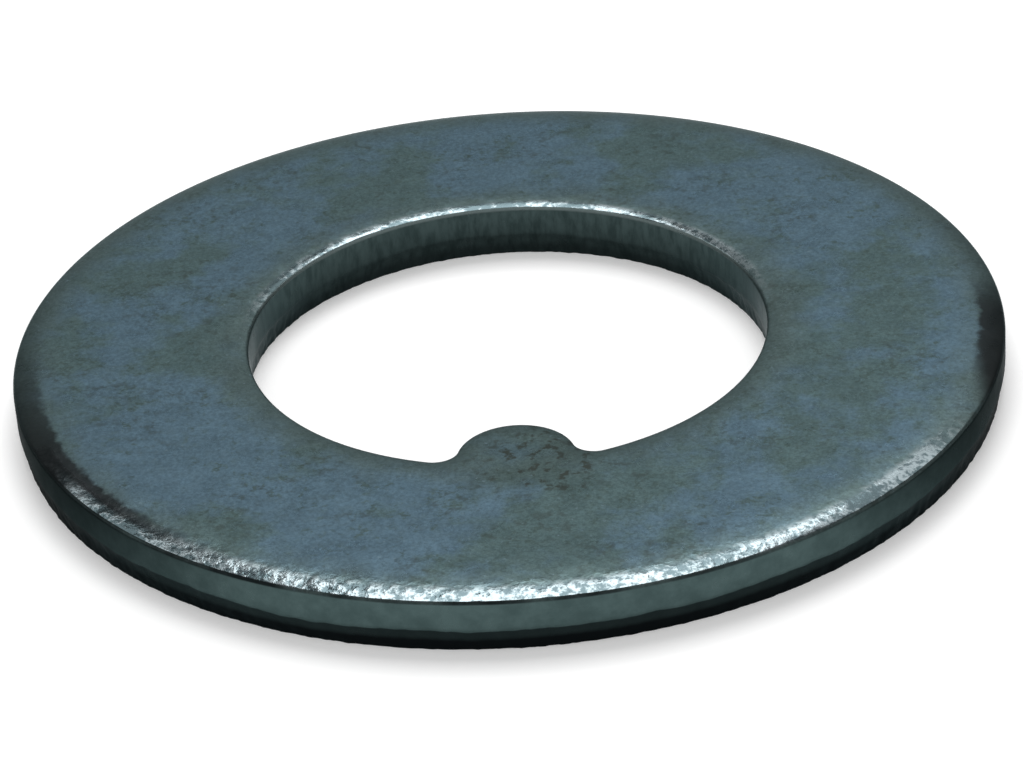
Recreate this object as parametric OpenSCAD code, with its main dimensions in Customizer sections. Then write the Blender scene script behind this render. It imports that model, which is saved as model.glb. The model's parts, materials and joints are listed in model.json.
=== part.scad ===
// Tab lock washer: a flat ring blanked from sheet steel. One half-round tab stands
// inward from the bore and keys into a slot along the spindle.
// Its edges are sheared ones: rolled over at the top face, straight below that,
// then torn back in a slight taper down to the bottom face.
// The bottom face lies on z = 0 and the tab points inward from the -Y side.

/* [Ring] */
// outside diameter
outer_d = 50; // [44:0.5:70]
// bore diameter, clear of a 25.4 mm spindle
bore_d = 26.2; // [22:0.1:32]
// sheet thickness
sheet_t = 3; // [2:0.1:5]

/* [Tab] */
// width across the round nose
tab_w = 5.8; // [4:0.1:8]
// reach of the nose inward from the bore
tab_reach = 3.6; // [3:0.1:5]
// corner radius at each side of the root
root_r = 1.1; // [0.7:0.1:1.6]

/* [Sheared edges] */
// width of the rolled-over band at the outside
outer_roll_w = 1.5; // [0.6:0.05:2]
// drop of the rolled-over band at the outside
outer_roll_h = 0.3; // [0.1:0.01:0.45]
// width of the rolled-over band around the hole
hole_roll_w = 0.9; // [0.4:0.05:1.2]
// drop of the rolled-over band around the hole
hole_roll_h = 0.2; // [0.1:0.01:0.3]
// height of the torn zone
break_h = 1; // [0.4:0.05:1.3]
// lean of the torn zone at the bottom face
break_w = 0.2; // [0.05:0.01:0.3]

/* [Hidden] */
$fn = 180;
outer_r = outer_d / 2;
bore_r = bore_d / 2;
nose_r = tab_w / 2;
// run past a face, so that a cut leaves no skin
over = 0.5;
// small bite of each corner radius into its neighbours, so that walls cross cleanly
bite = 0.01;
// slope at which a rolled band leaves the top face, in degrees
roll_lead = 2;
// nose centre, and the corner centres found from the two circles they touch
nose_y = bore_r - tab_reach + nose_r;
corner_from_axis = bore_r - root_r + bite;
corner_from_nose = nose_r + root_r - bite;
corner_y = (corner_from_axis ^ 2 + nose_y ^ 2 - corner_from_nose ^ 2) / (2 * nose_y);
corner_x = sqrt(corner_from_axis ^ 2 - corner_y ^ 2);
// the root block ends in the ring, beyond the rolled band
block_y = bore_r + hole_roll_w + over;
block_x = block_y * corner_x / corner_y;

// what shearing takes off a straight edge, with the stock on the +X side:
// the sliver above the rolled arc, and the wedge behind the torn slope
module edge_loss(roll_w, roll_h) {
    chord_slope = atan2(roll_h, roll_w);
    roll_r = norm([roll_w, roll_h]) / (2 * sin(chord_slope - roll_lead));
    roll_x = roll_w + roll_r * sin(roll_lead);
    roll_y = sheet_t - roll_r * cos(roll_lead);
    lean = break_w / break_h;
    difference() {
        translate([-over, roll_y])
            square([over + roll_x, sheet_t + over - roll_y]);
        translate([roll_x, roll_y])
            circle(roll_r);
    }
    polygon([
        [-over * lean, break_h + over],
        [break_w + over * lean, -over],
        [-over, -over],
        [-over, break_h + over]
    ]);
}

module outer_edge_loss() {
    mirror([1, 0])
        edge_loss(outer_roll_w, outer_roll_h);
}

module hole_edge_loss() {
    edge_loss(hole_roll_w, hole_roll_h);
}

module ring() {
    rotate_extrude()
        difference() {
            translate([bore_r, 0])
                square([outer_r - bore_r, sheet_t]);
            translate([bore_r, 0])
                hole_edge_loss();
            translate([outer_r, 0])
                outer_edge_loss();
        }
}

module nose() {
    translate([0, -nose_y, 0])
        rotate_extrude()
            difference() {
                square([nose_r, sheet_t]);
                translate([nose_r, 0])
                    mirror([1, 0])
                        hole_edge_loss();
            }
}

module corner_void(side) {
    translate([side * corner_x, -corner_y, 0])
        rotate_extrude() {
            translate([0, -over])
                square([root_r, sheet_t + 2 * over]);
            translate([root_r, 0])
                hole_edge_loss();
        }
}

// joins the nose to the ring, hollowed at both sides by the corner radii
module root_block() {
    difference() {
        linear_extrude(sheet_t)
            polygon([
                [0, -nose_y],
                [corner_x, -corner_y],
                [block_x, -block_y],
                [-block_x, -block_y],
                [-corner_x, -corner_y]
            ]);
        corner_void(1);
        corner_void(-1);
    }
}

module washer() {
    color([0.3, 0.38, 0.42])
        union() {
            ring();
            root_block();
            nose();
        }
}

washer();
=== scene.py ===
import json
import math

import bmesh
import bpy
from mathutils import Matrix, Vector, noise


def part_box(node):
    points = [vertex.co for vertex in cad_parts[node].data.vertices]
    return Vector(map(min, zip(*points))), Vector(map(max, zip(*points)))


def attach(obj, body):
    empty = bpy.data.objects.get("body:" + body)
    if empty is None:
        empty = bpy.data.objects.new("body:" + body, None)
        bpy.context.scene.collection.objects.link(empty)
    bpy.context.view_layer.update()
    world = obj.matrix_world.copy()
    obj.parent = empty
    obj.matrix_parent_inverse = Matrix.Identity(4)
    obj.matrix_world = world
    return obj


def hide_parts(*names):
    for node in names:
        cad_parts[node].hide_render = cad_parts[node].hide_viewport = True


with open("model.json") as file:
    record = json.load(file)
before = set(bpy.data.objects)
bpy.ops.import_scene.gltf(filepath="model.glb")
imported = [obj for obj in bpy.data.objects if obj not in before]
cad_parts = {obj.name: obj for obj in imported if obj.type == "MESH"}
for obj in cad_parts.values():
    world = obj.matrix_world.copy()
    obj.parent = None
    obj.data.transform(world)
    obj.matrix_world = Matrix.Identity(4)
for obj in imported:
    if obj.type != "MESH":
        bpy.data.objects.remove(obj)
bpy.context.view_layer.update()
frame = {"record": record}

# Sizes in metres: the overall ones and the bore come from the frame, the rest repeat the part's own
MM = 0.001
high_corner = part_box("washer")[1]
mounts = {mount["name"]: mount for mount in frame["record"]["mounts"]}
OUTER_R = high_corner.x
SHEET_T = high_corner.z
BORE_R = mounts["keyed_bore"]["dims"]["r_mm"] * MM
TAB_W = 5.8 * MM
TAB_REACH = 3.6 * MM
ROOT_R = 1.1 * MM
OUTER_ROLL_W = 1.5 * MM
OUTER_ROLL_H = 0.3 * MM
HOLE_ROLL_W = 0.9 * MM
HOLE_ROLL_H = 0.2 * MM
BREAK_H = 1.0 * MM
BREAK_W = 0.2 * MM

# Finer forms of an edge: the round shoulder below its roll, and a strip of the bottom face
SHOULDER_W = 0.16 * MM
BOTTOM_STRIP = 0.1 * MM

# A roll starts faintly, this many of its widths in from the wall, and steepens by this power
ROLL_REACH = 2.2
ROLL_CURVE = 4
# Steepness that the mesh notes at the end of a roll, where a face has 0 and a wall has 1
ROLL_END = 0.9

# Places of the tab: the nose, and the corner radius at the -X side of its root
NOSE_R = TAB_W / 2
NOSE_Y = BORE_R - TAB_REACH + NOSE_R
ROOT_Y = ((BORE_R - ROOT_R) ** 2 + NOSE_Y ** 2 - (NOSE_R + ROOT_R) ** 2) / (2 * NOSE_Y)
ROOT_X = math.sqrt((BORE_R - ROOT_R) ** 2 - ROOT_Y ** 2)
AXIS = Vector((0, 0, 0))
NOSE = Vector((0, -NOSE_Y, 0))
ROOT = Vector((-ROOT_X, -ROOT_Y, 0))
TAB_ANGLE = math.atan2(ROOT_X, ROOT_Y)
FLANK_ANGLE = math.atan2(NOSE_Y - ROOT_Y, ROOT_X)
# Stretch of the outer edge that the mesh joins to the nose
BESIDE_NOSE = math.radians(6)
# Radius that parts the edge of the hole from the outer edge
MIDDLE_R = (BORE_R + OUTER_R) / 2

# Fineness of the mesh: steps round one half of the washer, and rows along its section
RING_STEPS = 450
ROOT_STEPS = 24
NOSE_STEPS = 36
ROLL_STEPS = 16
ROLL_SPREAD = 1.3
SHOULDER_ROWS = (0.2, 0.4, 0.6, 0.8)
LAND_ROWS = (0, 0.04, 0.15, 0.3, 0.5, 0.7, 0.88, 1)
BREAK_ROWS = (0.05, 0.2, 0.35, 0.5, 0.65, 0.8, 0.92, 1)
TOP_CUTS = 12
BOTTOM_CUTS = 2
WELD = 0.001 * MM

# Noise that shapes the metal: its middle and spread, and how its finer layers fade and shrink
NOISE_MIDDLE = 0.5
NOISE_SPREAD = 0.4
NOISE_FADE = 1.0
NOISE_SHRINK = 2.0

# Unevenness of the metal: how deep, and how far apart its bumps are in millimetres
WAVE_DEPTH = 0.004 * MM
WAVE_PITCH = 2.5
DENT_DEPTH = 0.06 * MM
DENT_PITCH = 0.7
TEAR_DEPTH = 0.09 * MM
TEAR_PITCH = 0.5
GRAIN_DEPTH = 0.02 * MM
# Share of the grain's depth that the faces have
FACE_GRAIN = 0.12
# Layers of noise on the torn slope, and the share of the slope over which its roughness sets in
TEAR_DETAIL = 3
TEAR_ONSET = 0.25

# Line where the tearing starts, in heights of the torn zone: its least, its drift and its jags
TEAR_LEAST = 0.95
TEAR_DRIFT = 0.42
TEAR_DRIFT_PITCH = 7
TEAR_JAG = 0.14
TEAR_JAG_PITCH = 0.9

# Wear of the rolls from 0 to 1, which also places their painted highlight, with starts and lengths
# in millimetres. On the outer edge it grows towards the front, later and less on the right, and in
# the hole towards the back
WEAR_HIGHLIGHT_LEAST = 0.05
FRONT_WEAR_HIGHLIGHT = 0.95
FRONT_START = 8
FRONT_LENGTH = 9
RIGHT_START = 5
RIGHT_LENGTH = 9
RIGHT_DELAY = 3
RIGHT_LOSS = 0.6
HOLE_WEAR_HIGHLIGHT = 0.2
HOLE_WEAR_HIGHLIGHT_LENGTH = 8

# Colours of the plate. Bright zinc is rubbed metal and painted highlight, the hole glint is painted
# highlight, the black of the roll sides is painted shade, and the bore and torn colours are partly
# painted shade
SLATE = (0.074, 0.121, 0.158, 1)
OLIVE = (0.063, 0.099, 0.103, 1)
PALE_ZINC = (0.12, 0.17, 0.195, 1)
EDGE_OLIVE = (0.062, 0.088, 0.087, 1)
SPOT_OLIVE = (0.045, 0.066, 0.062, 1)
SOIL = (0.03, 0.036, 0.032, 1)
BRIGHT_ZINC_HIGHLIGHT = (0.16, 0.19, 0.2, 1)
HOLE_GLINT = (0.24, 0.3, 0.3, 1)
DULL_ZINC = (0.048, 0.067, 0.073, 1)
ROLL_SIDE_SHADE = (0.013, 0.013, 0.0135, 1)
WALL_GREY = (0.07, 0.109, 0.109, 1)
WALL_DARK = (0.051, 0.082, 0.082, 1)
BORE_GREY = (0.035, 0.053, 0.053, 1)
BORE_DARK = (0.02, 0.032, 0.032, 1)
TORN_AND_SHADED = (0.006, 0.008, 0.009, 1)
GLOSS_TINT = (0.6, 0.66, 0.67, 1)

# Strengths of stains and patches, and the share of the painted highlight on the hole's shoulder
SHADE_SOIL = 0.4
SPECK_STRENGTH = 0.7
CLUMP_SHARE = 0.7
HOLE_GLINT_SHARE = 0.4

# Stains, finishes and painted shade, in millimetres: the middle of the soil on the tab, how far the
# dull edging wavers, and between which places the others fade in or out
TAB_SOIL = (1.0, -13.0, 0)
EDGING_WAVER = 3.0
OUTER_HALF = (17, 20)
RIM_GRAIN = (23.2, 24.2)
# Painted shade on both sides of the outer roll, and where it is left off round the highlight
LEFT_SHADE_X = (-20, -12)
LEFT_SHADE_Y = (-9, 5)
RIGHT_SHADE_X = (22.2, 23.4)
RIGHT_SHADE_Y = (-2, 3)
SIDE_SHADE_BORDER = (1.6, 2.0)
SHADE_GAP_X = (20.5, 22.5)

# Low and high steepness between which each finish of an edge, and each painted highlight and painted
# shade, fades in or out
ROLL_STARTS = (0.2, 0.42)
ROLL_ENDS = (0.88, 0.96)
GLOSS_STARTS = (0.3, 0.5)
SHADE_GAP_STARTS = (0.35, 0.6)
SHOULDER_STARTS = (0.89, 0.93)
SHOULDER_ENDS = (0.97, 1.0)
GRAIN_ENDS = (0.85, 0.95)
WALL_STARTS = (0.95, 1.0)

# Low and high rubbing, which also places the painted highlight, between which the rolls turn bright and
# the shoulder of the hole glints
BRIGHT_WEAR_HIGHLIGHT = (0.05, 0.25)
GLINT_WEAR_HIGHLIGHT = (0.1, 0.25)

# Multipliers of a place: one lays it flat, the other draws a pattern out upwards
FLATTEN = (1, 1, 0)
DRAW_OUT = (1, 1, 0.3)

# Studio: a floor that glows a little, black cards that are solid over a share of their width,
# and a world that is brighter in front of the washer than behind it
WHITE = (1, 1, 1, 1)
FLOOR_HALF_WIDTH = 2
FLOOR_GREY = (0.8, 0.8, 0.8, 1)
FLOOR_ROUGHNESS = 0.9
FLOOR_GLOW = 0.24
FLOOR_GLOW_IN_METAL = 0.16
CARD_BLACK = (0.01, 0.01, 0.01, 1)
CARD_SOLID = 0.6
CARD_Z = 0.05 * MM
WORLD_FADE = (-0.3, 0.5)
WORLD_FRONT = 0.75
WORLD_BACK = 0.4

# Camera, fitted to the outlines in the photograph
PHOTO_W = 1024
FOCAL_PX = 3983
SENSOR_W = 36
CAMERA_DISTANCE = 202.7 * MM
CAMERA_ELEVATION = math.radians(30.03)
CAMERA_ROLL = math.radians(-4.10)
CAMERA_SLIDE = (0.07 * MM, -0.36 * MM)
CLIP_START = 1 * MM
CLIP_END = 10


def land_top(roll_h):
    """Height at which the straight land of an edge starts below its roll and shoulder."""
    return SHEET_T - roll_h - SHOULDER_W


def sheared_edge(bm, wall_r, stock, roll_w, roll_h):
    """Draws the section of a sheared edge on the +Y side, from the top face to the bottom one.
    The metal lies outside the wall where stock is 1, and inside it where stock is -1."""
    # Each row is an inset from the wall, a height, a steepness and a share of the torn slope
    rows = []
    reach = ROLL_REACH * roll_w
    for step in range(ROLL_STEPS + 1):
        inset = SHOULDER_W + (reach - SHOULDER_W) * (1 - step / ROLL_STEPS) ** ROLL_SPREAD
        share = 1 - inset / reach
        z = SHEET_T - roll_h * share ** ROLL_CURVE
        rows.append((inset, z, ROLL_END * share ** (ROLL_CURVE - 1), 0))
    start_z = rows[-1][1]
    corner_z = SHEET_T - roll_h
    land_z = land_top(roll_h)
    for share in SHOULDER_ROWS:
        rest = 1 - share
        z = start_z * rest ** 2 + 2 * corner_z * share * rest + land_z * share ** 2
        rows.append((SHOULDER_W * rest ** 2, z, ROLL_END + (1 - ROLL_END) * share, 0))
    rows += [(0, land_z + (BREAK_H - land_z) * share, 1, 0) for share in LAND_ROWS]
    rows += [(BREAK_W * share, BREAK_H * (1 - share), 1, share) for share in BREAK_ROWS]
    rows.append((BREAK_W + BOTTOM_STRIP, 0, 0, 0))
    steep = bm.verts.layers.float["steep"]
    tear = bm.verts.layers.float["tear"]
    drawn = []
    tip = None
    for inset, z, steep_share, torn_share in rows:
        if tip:
            grown = bmesh.ops.extrude_vert_indiv(bm, verts=[tip])
            tip = grown["verts"][0]
            drawn += grown["edges"]
        else:
            tip = bm.verts.new()
        tip.co = (0, wall_r + stock * inset, z)
        tip[steep] = steep_share
        tip[tear] = torn_share
        drawn.append(tip)
    return drawn


def sweep(bm, drawn, turns):
    """Carries a drawn section round the given centres, one after the other."""
    for centre, angle, steps in turns:
        drawn = bmesh.ops.spin(
            bm, geom=drawn, cent=centre, axis=(0, 0, 1), angle=angle, steps=steps
        )["geom_last"]


def rim(bm, z):
    """The open rims at that height, without the ends that the mirror closes."""
    level = [e for e in bm.edges if e.is_boundary and all(abs(v.co.z - z) < WELD for v in e.verts)]
    return [e for e in level if any(abs(v.co.x) > WELD for v in e.verts)]


def half_washer(bm):
    """Sweeps both edges round the -X half, and bridges the faces between them."""
    ring = (AXIS, math.pi - TAB_ANGLE, RING_STEPS)
    root = (ROOT, math.pi / 2 + TAB_ANGLE - FLANK_ANGLE, ROOT_STEPS)
    nose = (NOSE, FLANK_ANGLE - math.pi / 2, NOSE_STEPS)
    beside_root = (AXIS, TAB_ANGLE - BESIDE_NOSE, ROOT_STEPS)
    beside_nose = (AXIS, BESIDE_NOSE, NOSE_STEPS)
    hole_edge = sheared_edge(bm, BORE_R, 1, HOLE_ROLL_W, HOLE_ROLL_H)
    sweep(bm, hole_edge, (ring, root, nose))
    outer_edge = sheared_edge(bm, OUTER_R, -1, OUTER_ROLL_W, OUTER_ROLL_H)
    sweep(bm, outer_edge, (ring, beside_root, beside_nose))
    for z, cuts in ((SHEET_T, TOP_CUTS), (0, BOTTOM_CUTS)):
        bridged = bmesh.ops.bridge_loops(bm, edges=rim(bm, z))
        bmesh.ops.subdivide_edges(bm, edges=bridged["edges"], cuts=cuts, use_grid_fill=True)


def rough(place, pitch, detail=2):
    """Smooth noise from 0 to 1, with bumps about one pitch across, given in millimetres."""
    bumps = noise.fractal(place / (pitch * MM), NOISE_FADE, NOISE_SHRINK, detail)
    return min(max(NOISE_MIDDLE + NOISE_SPREAD * bumps, 0), 1)


def ramp(value, start, length):
    """Rises evenly from 0 at the start to 1 after the length."""
    return min(max((value - start) / length, 0), 1)


def level_place(place):
    """The place straight below on the floor."""
    return Vector((place.x, place.y, 0))


def edge_distance(place):
    """Distance from the nearest edge in millimetres, seen from above."""
    spot = level_place(place)
    from_hole = max(spot.length - BORE_R, NOSE_R - (spot - NOSE).length)
    return max(min(OUTER_R - spot.length, from_hole), 0) / MM


def wear_and_highlight(place):
    """How rubbed the rolled bands are, which also places their painted highlight, from 0 to 1: most at
    the front left of the outer edge.
    """
    if place.xy.length > MIDDLE_R:
        right = ramp(place.x / MM, RIGHT_START, RIGHT_LENGTH)
        front = ramp(-place.y / MM - RIGHT_DELAY * right, FRONT_START, FRONT_LENGTH)
        return WEAR_HIGHLIGHT_LEAST + FRONT_WEAR_HIGHLIGHT * front * (1 - RIGHT_LOSS * right)
    return WEAR_HIGHLIGHT_LEAST + HOLE_WEAR_HIGHLIGHT * ramp(place.y / MM, 0, HOLE_WEAR_HIGHLIGHT_LENGTH)


def tear_line(place):
    """Height at which the tearing starts below a point of an edge: it wanders round the washer."""
    spot = level_place(place)
    drift = TEAR_DRIFT * rough(spot, TEAR_DRIFT_PITCH)
    jags = TEAR_JAG * rough(spot, TEAR_JAG_PITCH)
    return BREAK_H * (TEAR_LEAST + drift + jags)


def shift_tear(bm):
    """Slides the rows of the walls up or down, so that the land ends on a ragged line."""
    steep = bm.verts.layers.float["steep"]
    tear = bm.verts.layers.float["tear"]
    for v in bm.verts:
        if v[steep] < 1:
            continue
        line = tear_line(v.co)
        top = land_top(HOLE_ROLL_H if v.co.xy.length < MIDDLE_R else OUTER_ROLL_H)
        if v[tear]:
            v.co.z *= line / BREAK_H
        else:
            v.co.z = top - (top - v.co.z) * (top - line) / (top - BREAK_H)


def press_in(bm):
    """Sinks the surface along its normals: faint waves, dents in the rolls, a torn break."""
    steep = bm.verts.layers.float["steep"]
    tear = bm.verts.layers.float["tear"]
    wear_highlight = bm.verts.layers.float["wear_highlight"]
    bm.normal_update()
    depths = []
    for v in bm.verts:
        depth = WAVE_DEPTH * rough(v.co, WAVE_PITCH)
        depth += DENT_DEPTH * v[wear_highlight] * math.sin(math.pi * v[steep]) * rough(v.co, DENT_PITCH)
        if v[tear]:
            depth += TEAR_DEPTH * min(1, v[tear] / TEAR_ONSET) * rough(v.co, TEAR_PITCH, TEAR_DETAIL)
        depths.append(depth)
    for v, depth in zip(bm.verts, depths):
        v.co -= v.normal * depth


def washer_mesh():
    """The whole washer as a closed mesh that notes steepness, tearing, rubbing with painted highlight,
    and edge distance.
    """
    bm = bmesh.new()
    for name in ("steep", "tear", "inland", "wear_highlight"):
        bm.verts.layers.float.new(name)
    half_washer(bm)
    bmesh.ops.mirror(bm, geom=bm.verts[:] + bm.edges[:] + bm.faces[:], axis="X", merge_dist=WELD)
    bmesh.ops.remove_doubles(bm, verts=bm.verts, dist=WELD)
    bmesh.ops.recalc_face_normals(bm, faces=bm.faces)
    inland = bm.verts.layers.float["inland"]
    wear_highlight = bm.verts.layers.float["wear_highlight"]
    for v in bm.verts:
        v[inland] = edge_distance(v.co)
        v[wear_highlight] = wear_and_highlight(v.co)
    shift_tear(bm)
    press_in(bm)
    for face in bm.faces:
        face.smooth = True
    mesh = bpy.data.meshes.new("plated_washer")
    bm.to_mesh(mesh)
    bm.free()
    return mesh


def make_washer():
    washer = bpy.data.objects.new("plated_washer", washer_mesh())
    bpy.context.scene.collection.objects.link(washer)
    washer.data.materials.append(zinc_plate())
    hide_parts("washer")
    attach(washer, "root")


def add(tree, kind, inputs=None, **settings):
    """A new node with its settings, and its inputs set to values or linked to sockets."""
    node = tree.nodes.new(kind)
    for name, value in settings.items():
        setattr(node, name, value)
    for key, value in (inputs or {}).items():
        if isinstance(value, bpy.types.NodeSocket):
            tree.links.new(value, node.inputs[key])
        else:
            node.inputs[key].default_value = value
    return node


def cloud(tree, place, pitch, detail=3, roughness=0.5):
    """Noise with blots about one pitch across, in millimetres."""
    inputs = {"Vector": place, "Scale": 1 / pitch, "Detail": detail, "Roughness": roughness}
    return add(tree, "ShaderNodeTexNoise", inputs).outputs[0]


def step_up(tree, value, low, high, bottom=0.0, top=1.0):
    """A smooth step of the value, from bottom at low to top at high."""
    inputs = {"Value": value, "From Min": low, "From Max": high, "To Min": bottom, "To Max": top}
    return add(tree, "ShaderNodeMapRange", inputs, interpolation_type="SMOOTHSTEP").outputs[0]


def step_down(tree, value, low, high, bottom=1.0):
    """A smooth step of the value, from bottom at low to 0 at high."""
    return step_up(tree, value, low, high, bottom, 0.0)


def times(tree, first, second):
    return add(tree, "ShaderNodeMath", {0: first, 1: second}, operation="MULTIPLY").outputs[0]


def plus(tree, first, second):
    return add(tree, "ShaderNodeMath", {0: first, 1: second}, operation="ADD").outputs[0]


def blend(tree, amount, under, over, mode="MIX"):
    """The over colour laid on the under one by an amount."""
    inputs = {0: amount, 6: under, 7: over}
    return add(tree, "ShaderNodeMix", inputs, data_type="RGBA", blend_type=mode).outputs[2]


def scaled(tree, place, share):
    """A place with its parts multiplied."""
    return add(tree, "ShaderNodeVectorMath", {0: place, 1: share}, operation="MULTIPLY").outputs[0]


def measure(tree, place, point):
    """Distance from a point, in the units of the place."""
    return add(tree, "ShaderNodeVectorMath", {0: place, 1: point}, operation="DISTANCE").outputs["Value"]


def zone(tree, name):
    """One of the values that the mesh carries at its points."""
    return add(tree, "ShaderNodeAttribute", attribute_name=name).outputs["Fac"]


def face_colour(tree, place):
    """The flat faces: blue and olive clouds, fine grain, dull olive near the edges, dark specks."""
    clouds = cloud(tree, place, pitch=6, detail=6, roughness=0.62)
    colour = blend(tree, step_up(tree, clouds, low=0.46, high=0.6), SLATE, OLIVE)

    shading = cloud(tree, place, pitch=0.6, detail=5, roughness=0.7)
    shade = step_up(tree, shading, low=0.3, high=0.7, top=0.65)
    colour = blend(tree, shade, colour, blend(tree, SHADE_SOIL, colour, SOIL))

    waver = times(tree, cloud(tree, place, pitch=2.5, detail=5, roughness=0.6), EDGING_WAVER)
    edging = step_down(tree, plus(tree, zone(tree, "inland"), waver), low=1.5, high=4.6)
    colour = blend(tree, edging, colour, EDGE_OLIVE)

    by_tab = measure(tree, scaled(tree, place, FLATTEN), TAB_SOIL)
    colour = blend(tree, step_down(tree, by_tab, low=1.5, high=5.0, bottom=0.45), colour, SPOT_OLIVE)

    crowds = cloud(tree, place, pitch=3, detail=4, roughness=0.6)
    crowded = step_up(tree, crowds, low=0.42, high=0.6, bottom=0.15)
    dots = cloud(tree, place, pitch=0.4, detail=3, roughness=0.6)
    spots = times(tree, crowded, step_up(tree, dots, low=0.53, high=0.64, top=0.75))
    colour = blend(tree, spots, colour, SPOT_OLIVE)

    grain = cloud(tree, place, pitch=0.18, detail=3, roughness=0.8)
    grain = step_up(tree, grain, low=0.3, high=0.7, bottom=0.78, top=1.22)
    colour = blend(tree, 1.0, colour, grain, "MULTIPLY")

    flecks = step_up(tree, cloud(tree, place, pitch=0.25, detail=2), low=0.64, high=0.76, top=0.5)
    colour = blend(tree, flecks, colour, PALE_ZINC)

    soiled = step_up(tree, cloud(tree, place, pitch=4), low=0.5, high=0.62, top=0.6)
    soiled = plus(tree, soiled, step_down(tree, by_tab, low=2.0, high=5.0))
    specks = cloud(tree, place, pitch=0.6, detail=4, roughness=0.6)
    specks = times(tree, step_up(tree, specks, low=0.51, high=0.64), soiled)
    return blend(tree, times(tree, specks, SPECK_STRENGTH), colour, SOIL)


def roll_colour(tree, place):
    """The rubbed rolls, bright partly as painted highlight: bright and dull zinc in small patches."""
    fine = cloud(tree, place, pitch=0.4, detail=5, roughness=0.7)
    clumps = plus(tree, fine, times(tree, cloud(tree, place, pitch=2.5), CLUMP_SHARE))
    return blend(tree, step_up(tree, clumps, low=0.78, high=0.94), DULL_ZINC, BRIGHT_ZINC_HIGHLIGHT)


def roll_side_shade(tree, place, steep):
    """How much painted shade lies on the outer roll: round both sides, and above the steep part in front,
    which it leaves bare for the highlight.
    """
    parts = add(tree, "ShaderNodeSeparateXYZ", {0: place}).outputs
    left = step_down(tree, parts["X"], *LEFT_SHADE_X, bottom=0.9)
    left = times(tree, left, step_down(tree, parts["Y"], *LEFT_SHADE_Y))
    right = step_up(tree, parts["X"], *RIGHT_SHADE_X, top=0.95)
    right = times(tree, right, step_down(tree, parts["Y"], *RIGHT_SHADE_Y))
    ragged = plus(tree, zone(tree, "inland"), cloud(tree, place, pitch=0.8, detail=4, roughness=0.6))
    band = times(tree, plus(tree, left, right), step_down(tree, ragged, *SIDE_SHADE_BORDER))
    apart = add(tree, "ShaderNodeMath", {0: parts["X"]}, operation="ABSOLUTE").outputs[0]
    shade_gap = times(tree, step_up(tree, steep, *SHADE_GAP_STARTS), step_down(tree, apart, *SHADE_GAP_X))
    return times(tree, band, step_down(tree, shade_gap, low=0.0, high=1.0))


def wall_colour(tree, place, outside):
    """The sheared walls: grey outside, faintly streaked in the hole and darkened there by painted shade
    that deepens towards the bottom, and torn at the bottom with painted shade.
    """
    mottle = cloud(tree, place, pitch=1.2, detail=5, roughness=0.65)
    outer = blend(tree, step_up(tree, mottle, low=0.3, high=0.7), WALL_GREY, WALL_DARK)
    streaks = cloud(tree, scaled(tree, place, DRAW_OUT), pitch=0.4, detail=4, roughness=0.6)
    bore = blend(tree, step_up(tree, streaks, low=0.35, high=0.7), BORE_GREY, BORE_DARK)
    height = add(tree, "ShaderNodeSeparateXYZ", {0: place}).outputs["Z"]
    # Painted shade in the hole, deepening towards the bottom
    shade_by_height = step_up(tree, height, low=0.8, high=2.7, bottom=0.75, top=1.25)
    bore = blend(tree, 1.0, bore, shade_by_height, "MULTIPLY")
    colour = blend(tree, outside, bore, outer)
    # Torn metal, with painted shade that darkens it most towards the bottom
    tear = zone(tree, "tear")
    torn = times(tree, outside, step_up(tree, tear, low=0.0, high=0.06, top=0.75))
    torn = plus(tree, torn, step_up(tree, tear, low=0.3, high=0.7, top=0.35))
    return blend(tree, torn, colour, TORN_AND_SHADED)


def pitted_bump(tree, place, steep, pitting):
    """Fine grain: faint on the faces, and deeper where there is pitting."""
    grain = cloud(tree, place, pitch=0.4, detail=3, roughness=0.55)
    deeper = step_up(tree, steep, low=0.3, high=0.85, bottom=2.4, top=1.6)
    height = times(tree, grain, plus(tree, times(tree, pitting, deeper), FACE_GRAIN))
    return add(tree, "ShaderNodeBump", {"Height": height, "Distance": GRAIN_DEPTH}).outputs[0]


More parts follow.
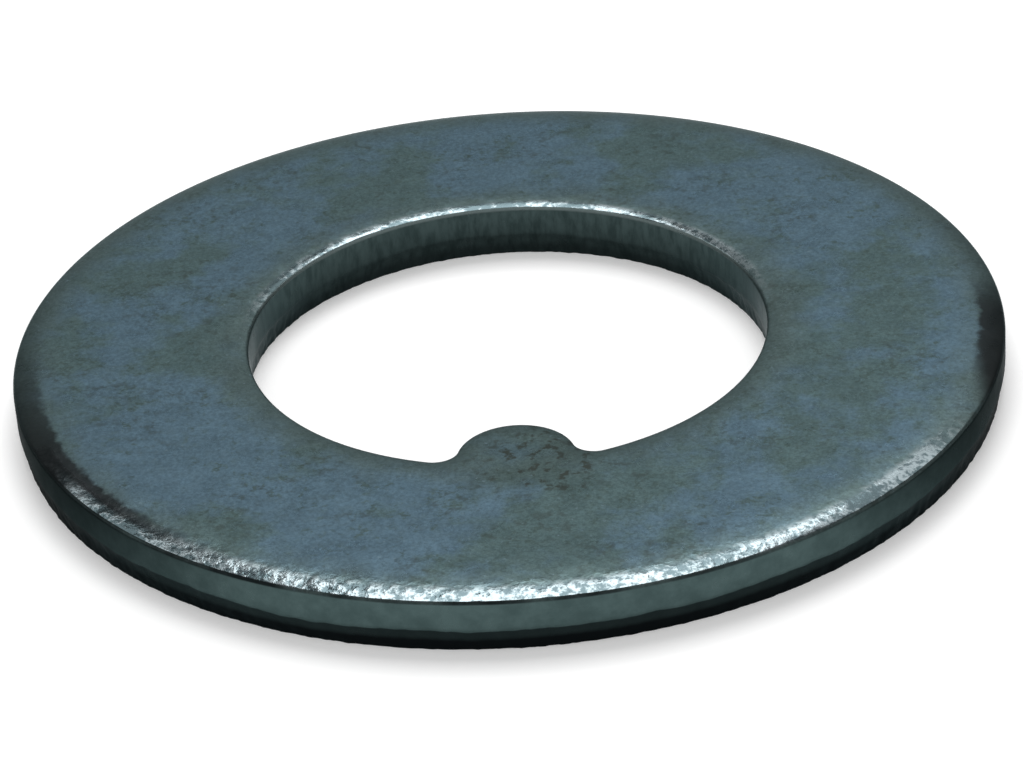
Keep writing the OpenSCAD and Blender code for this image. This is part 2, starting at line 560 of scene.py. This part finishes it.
def zinc_plate():
    """Blue passivated zinc: clouded on the faces, bright on the rolls partly as painted highlight, dark
    on the walls partly as painted shade, and with painted shade on the sides of the outer roll.
    """
    material = bpy.data.materials.new("zinc_plate")
    material.use_nodes = True
    tree = material.node_tree
    shader = tree.nodes["Principled BSDF"]
    coords = add(tree, "ShaderNodeTexCoord").outputs["Object"]
    place = scaled(tree, coords, (1 / MM, 1 / MM, 1 / MM))
    flat = scaled(tree, place, FLATTEN)
    from_axis = measure(tree, flat, AXIS)
    steep = zone(tree, "steep")
    wear_highlight = zone(tree, "wear_highlight")
    outside = step_up(tree, from_axis, *OUTER_HALF)
    rolled = times(tree, step_up(tree, steep, *ROLL_STARTS), step_down(tree, steep, *ROLL_ENDS))
    # Bright zinc on the rubbed rolls, partly painted highlight
    bright = times(tree, rolled, step_up(tree, wear_highlight, *BRIGHT_WEAR_HIGHLIGHT))
    colour = blend(tree, bright, face_colour(tree, place), roll_colour(tree, place))
    # Painted shade on both sides of the outer roll
    colour = blend(tree, roll_side_shade(tree, place, steep), colour, ROLL_SIDE_SHADE)
    colour = blend(tree, step_up(tree, steep, *WALL_STARTS), colour, wall_colour(tree, place, outside))

    # Painted highlight on the shoulder of the hole, and painted shade along the outer shoulder below the
    # roll
    shoulder = times(tree, step_up(tree, steep, *SHOULDER_STARTS), step_down(tree, steep, *SHOULDER_ENDS))
    inside = step_down(tree, outside, low=0.0, high=1.0, bottom=HOLE_GLINT_SHARE)
    glint = times(tree, step_up(tree, wear_highlight, *GLINT_WEAR_HIGHLIGHT), inside)
    colour = blend(tree, times(tree, shoulder, glint), colour, HOLE_GLINT)
    gaps = step_up(tree, cloud(tree, flat, pitch=4), low=0.35, high=0.6, bottom=0.2, top=0.9)
    shoulder_shade = times(tree, times(tree, shoulder, gaps), times(tree, wear_highlight, outside))
    colour = blend(tree, shoulder_shade, colour, TORN_AND_SHADED)
    tree.links.new(colour, shader.inputs["Base Color"])

    shader.inputs["Metallic"].default_value = 1.0
    shader.inputs["Specular Tint"].default_value = GLOSS_TINT
    sheen = cloud(tree, place, pitch=1.2, detail=4)
    roughness = step_up(tree, sheen, low=0.3, high=0.7, bottom=0.27, top=0.35)
    gloss = times(tree, bright, step_up(tree, steep, *GLOSS_STARTS, top=-0.17))
    tree.links.new(plus(tree, roughness, gloss), shader.inputs["Roughness"])

    outer_rim = times(tree, step_up(tree, from_axis, *RIM_GRAIN), step_down(tree, steep, *GRAIN_ENDS))
    grainy = add(tree, "ShaderNodeMath", {0: outer_rim, 1: rolled}, operation="MAXIMUM").outputs[0]
    bump = pitted_bump(tree, place, steep, times(tree, grainy, wear_highlight))
    tree.links.new(bump, shader.inputs["Normal"])
    return material


def stage_sheet(name, half_width, matrix):
    """A flat square sheet of the studio, with a new material of its own."""
    mesh = bpy.data.meshes.new(name)
    bm = bmesh.new()
    bmesh.ops.create_grid(bm, x_segments=1, y_segments=1, size=half_width, matrix=matrix)
    bm.to_mesh(mesh)
    bm.free()
    sheet = bpy.data.objects.new(name, mesh)
    bpy.context.scene.collection.objects.link(sheet)
    material = bpy.data.materials.new(name)
    material.use_nodes = True
    mesh.materials.append(material)
    return sheet


def make_floor():
    floor = stage_sheet("floor", FLOOR_HALF_WIDTH, Matrix.Identity(4))
    tree = floor.active_material.node_tree
    shader = tree.nodes["Principled BSDF"]
    shader.inputs["Base Color"].default_value = FLOOR_GREY
    shader.inputs["Roughness"].default_value = FLOOR_ROUGHNESS
    shader.inputs["Emission Color"].default_value = WHITE
    path = add(tree, "ShaderNodeLightPath").outputs
    mirrored = plus(tree, path["Is Glossy Ray"], path["Is Transmission Ray"])
    in_metal = times(tree, mirrored, FLOOR_GLOW_IN_METAL)
    glow = plus(tree, times(tree, path["Is Camera Ray"], FLOOR_GLOW), in_metal)
    tree.links.new(glow, shader.inputs["Emission Strength"])


def make_camera():
    data = bpy.data.cameras.new("camera")
    data.sensor_width = SENSOR_W
    data.lens = FOCAL_PX * SENSOR_W / PHOTO_W
    data.clip_start = CLIP_START
    data.clip_end = CLIP_END
    camera = bpy.data.objects.new("camera", data)
    bpy.context.scene.collection.objects.link(camera)
    tilt = Matrix.Rotation(math.pi / 2 - CAMERA_ELEVATION, 4, "X") @ Matrix.Rotation(CAMERA_ROLL, 4, "Z")
    camera.matrix_world = tilt @ Matrix.Translation((*CAMERA_SLIDE, CAMERA_DISTANCE))
    bpy.context.scene.camera = camera


def soft_lamp(name, place, size, radiance):
    """A flat lamp that faces the washer, with its place and size in metres."""
    data = bpy.data.lights.new(name, "AREA")
    data.shape = "RECTANGLE"
    data.size, data.size_y = size
    data.energy = radiance * math.pi * size[0] * size[1]
    lamp = bpy.data.objects.new(name, data)
    bpy.context.scene.collection.objects.link(lamp)
    lamp.location = place
    lamp.rotation_euler = (-Vector(place)).to_track_quat("-Z", "Y").to_euler()
    lamp.visible_camera = False


def dark_card(name, place, half_width):
    """A black card with a faded rim that lies on the floor, and that only the metal sees."""
    card = stage_sheet(name, half_width, Matrix.Translation(place))
    card.visible_camera = False
    card.visible_diffuse = False
    card.visible_shadow = False
    tree = card.active_material.node_tree
    shader = tree.nodes["Principled BSDF"]
    shader.inputs["Base Color"].default_value = CARD_BLACK
    coords = add(tree, "ShaderNodeTexCoord").outputs["Object"]
    shown = step_down(tree, measure(tree, coords, place), CARD_SOLID * half_width, half_width)
    tree.links.new(shown, shader.inputs["Alpha"])


def make_light():
    world = bpy.data.worlds.new("studio")
    bpy.context.scene.world = world
    world.use_nodes = True
    tree = world.node_tree
    background = tree.nodes["Background"]
    background.inputs["Color"].default_value = WHITE
    direction = add(tree, "ShaderNodeTexCoord").outputs["Generated"]
    backward = add(tree, "ShaderNodeSeparateXYZ", {0: direction}).outputs["Y"]
    strength = step_up(tree, backward, *WORLD_FADE, bottom=WORLD_FRONT, top=WORLD_BACK)
    tree.links.new(strength, background.inputs["Strength"])
    soft_lamp("overhead_softbox", place=(0.008, 0.19, 0.407), size=(0.22, 0.26), radiance=6.3)
    soft_lamp("left_softbox", place=(-0.205, 0.228, 0.33), size=(0.15, 0.12), radiance=2.2)
    soft_lamp("right_softbox", place=(0.155, 0.27, 0.33), size=(0.23, 0.14), radiance=2.2)
    soft_lamp("back_panel", place=(0, 0.42, 0.252), size=(0.3, 0.19), radiance=0.53)
    soft_lamp("low_panel", place=(0, 0.48, 0.1), size=(0.36, 0.14), radiance=0.42)
    dark_card("left_floor_card", place=(-0.051, -0.012, CARD_Z), half_width=0.0395)
    dark_card("right_floor_card", place=(0.049, -0.013, CARD_Z), half_width=0.036)


make_washer()
make_floor()
make_camera()
make_light()
bpy.context.scene.view_settings.view_transform = "Standard"
